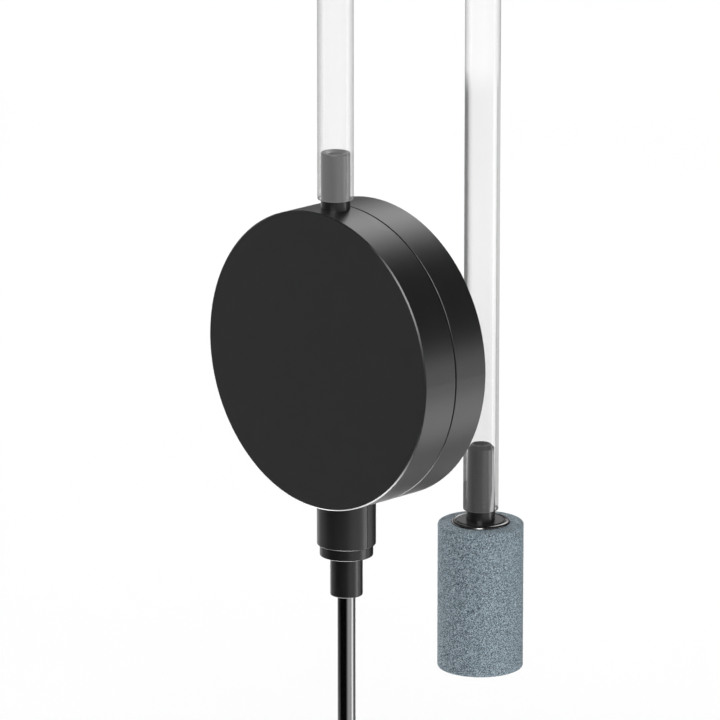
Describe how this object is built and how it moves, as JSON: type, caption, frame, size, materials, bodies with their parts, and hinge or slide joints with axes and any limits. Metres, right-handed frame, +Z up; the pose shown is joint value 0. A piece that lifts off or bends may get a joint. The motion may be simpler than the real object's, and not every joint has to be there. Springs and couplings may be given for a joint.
{
  "type": "aquarium air pump",
  "caption": "Disc-shaped piezo air pump on a suction cup, with a clear hose looped over the tank wall to a porous air stone and a round supply cable below.",
  "frame": {"origin": "centre of the suction cup's lip, in the plane of the tank's glass", "axes": "+X to the right seen from outside the tank, +Y into the tank, +Z up; the disc's axis is along Y"},
  "size_m": [0.0446, 0.0413, 0.1395],
  "materials": {
    "housing_black": "moulded satin black",
    "housing_black_rear": "moulded satin black",
    "steel": "zinc-plated",
    "cup_pvc": "clear soft PVC, slightly smoky",
    "grommet_black": "moulded satin black",
    "cable_black": "smooth glossy jacket",
    "core_insulation": "smooth coloured insulation",
    "copper": "bright copper",
    "hose_clear": "clear flexible tube",
    "fitting_black": "glossy moulded black",
    "washer_black": "glossy black ring",
    "porous_stone": "sintered grain, porous",
    "pump_plastic": "natural moulded plastic",
    "silicone_red": "soft silicone",
    "valve_rubber": "thin rubber sheet",
    "soft_rubber": "soft rubber",
    "brass_plate": "rolled brass",
    "piezo_ceramic": "silvered ceramic",
    "clamp_plastic": "glass-filled plastic",
    "foam": "closed-cell foam",
    "board_green": "lacquered glass-fibre board",
    "chip_black": "moulded epoxy",
    "ferrite": "pressed ferrite",
    "capacitor_can": "bare can",
    "chip_ceramic": "fired ceramic",
    "solder": "bright solder",
    "lead_insulation": "thin coloured insulation",
    "felt": "needled felt"
  },
  "bodies": {
    "pump": {"front_housing": "housing_black", "rear_housing": "housing_black_rear", "housing_screws": "steel", "suction_cup": "cup_pvc", "cable_grommet": "grommet_black", "cable_jacket": "cable_black", "cable_cores": "core_insulation", "cable_conductors": "copper", "pump_body": "pump_plastic", "outlet_seal": "silicone_red", "valve_sheet": "valve_rubber", "valve_plate": "pump_plastic", "diaphragm_surround": "soft_rubber", "clamp_ring": "clamp_plastic", "clamp_screws": "steel", "front_pads": "foam", "rear_pads": "foam", "circuit_board": "board_green", "driver_chip": "chip_black", "inductor_core": "ferrite", "inductor_winding": "copper", "capacitor": "capacitor_can", "chip_parts": "chip_ceramic", "board_solder": "solder", "piezo_leads": "lead_insulation", "intake_filter": "felt"},
    "piezo_element": {"piezo_plate": "brass_plate", "piezo_ceramic": "piezo_ceramic", "piezo_solder": "solder"},
    "inlet_valve": {"inlet_flap": "valve_rubber"},
    "outlet_valve": {"outlet_flap": "valve_rubber"},
    "hose": {"air_hose": "hose_clear"},
    "stone": {"stone_nozzle": "fitting_black", "stone_washer": "washer_black", "air_stone": "porous_stone"}
  },
  "joints": [
    {"name": "piezo_stroke", "type": "slide", "parent": "pump", "child": "piezo_element", "axis": [0, 1, 0], "range_m": [-0.0002, 0.0002], "deforming": ["diaphragm_surround", "piezo_leads"]},
    {"name": "inlet_valve_open", "type": "hinge", "parent": "pump", "child": "inlet_valve", "pos_m": [0, -0.01475, 0], "axis": [1, 0, 0], "range_deg": [0, 10]},
    {"name": "outlet_valve_open", "type": "hinge", "parent": "pump", "child": "outlet_valve", "pos_m": [0, -0.01475, 0.005], "axis": [1, 0, 0], "range_deg": [0, 10]},
    {"name": "hose_pull", "type": "slide", "parent": "pump", "child": "hose", "axis": [0, 0, 1], "range_m": [0, 0.008]},
    {"name": "stone_pull", "type": "slide", "parent": "hose", "child": "stone", "axis": [0, 0, -1], "range_m": [0, 0.011]}
  ]
}
